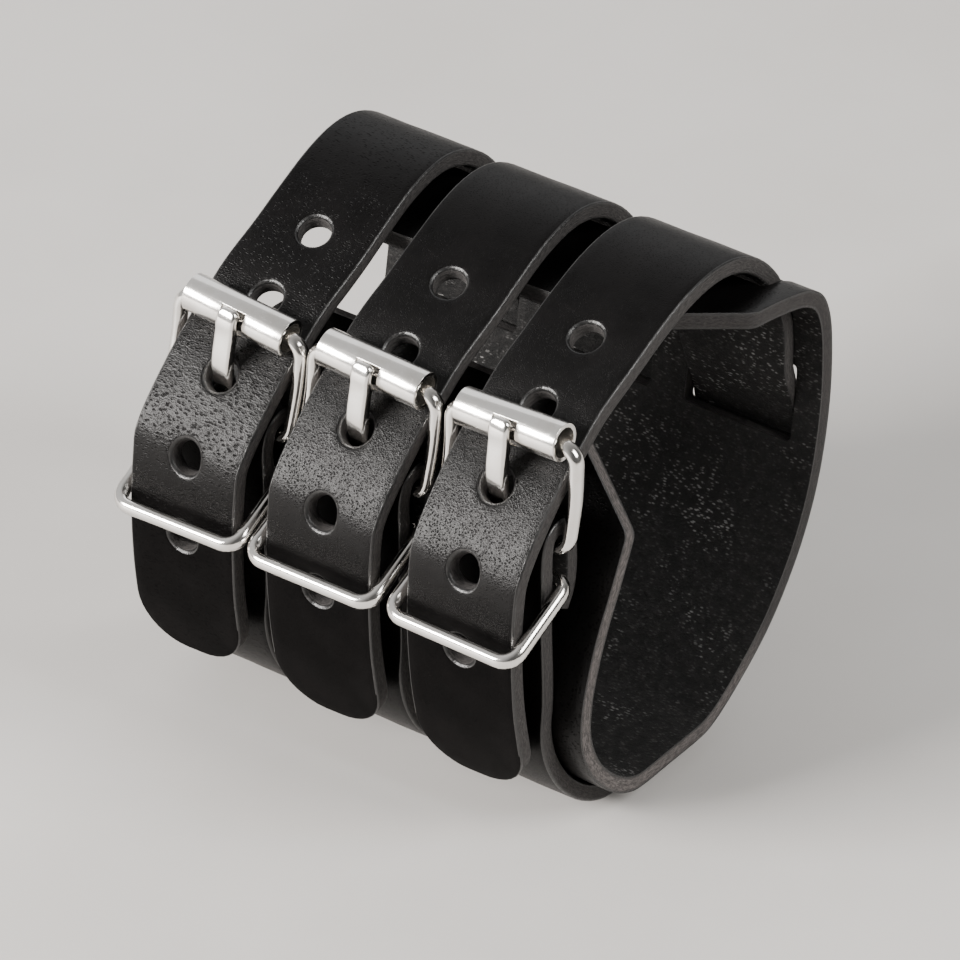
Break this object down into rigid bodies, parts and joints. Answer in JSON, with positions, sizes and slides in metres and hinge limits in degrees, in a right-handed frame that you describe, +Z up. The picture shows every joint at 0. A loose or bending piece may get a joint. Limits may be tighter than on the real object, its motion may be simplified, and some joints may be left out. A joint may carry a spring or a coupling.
{
  "type": "cuff bracelet",
  "caption": "Wide leather wrist cuff lying on its side, closed by parallel leather straps with roller buckles and wire keeper loops.",
  "frame": {"origin": "centre of the bounding box in X and Y, at the table that the cuff rests on", "axes": "+X along the wrist hollow, -Y towards the buckled front, +Z up from the table"},
  "size_m": [0.0742, 0.0738, 0.0743],
  "materials": {
    "cuff_leather": "black smooth outside, rough black suede inside, grey-brown cut edges",
    "strap_leather": "black satin with a fine pebbled grain, grey-brown cut edges",
    "buckle_metal": "polished nickel plate",
    "roller_metal": "polished nickel plate",
    "prong_metal": "polished nickel plate",
    "keeper_metal": "polished nickel plate"
  },
  "bodies": {
    "root": {"base_cuff": "cuff_leather", "strap_1": "strap_leather", "buckle_frame_1": "buckle_metal", "roller_1": "roller_metal", "prong_1": "prong_metal", "keeper_loop_1": "keeper_metal", "strap_2": "strap_leather", "buckle_frame_2": "buckle_metal", "roller_2": "roller_metal", "prong_2": "prong_metal", "keeper_loop_2": "keeper_metal", "strap_3": "strap_leather", "buckle_frame_3": "buckle_metal", "roller_3": "roller_metal", "prong_3": "prong_metal", "keeper_loop_3": "keeper_metal"}
  },
  "joints": []
}
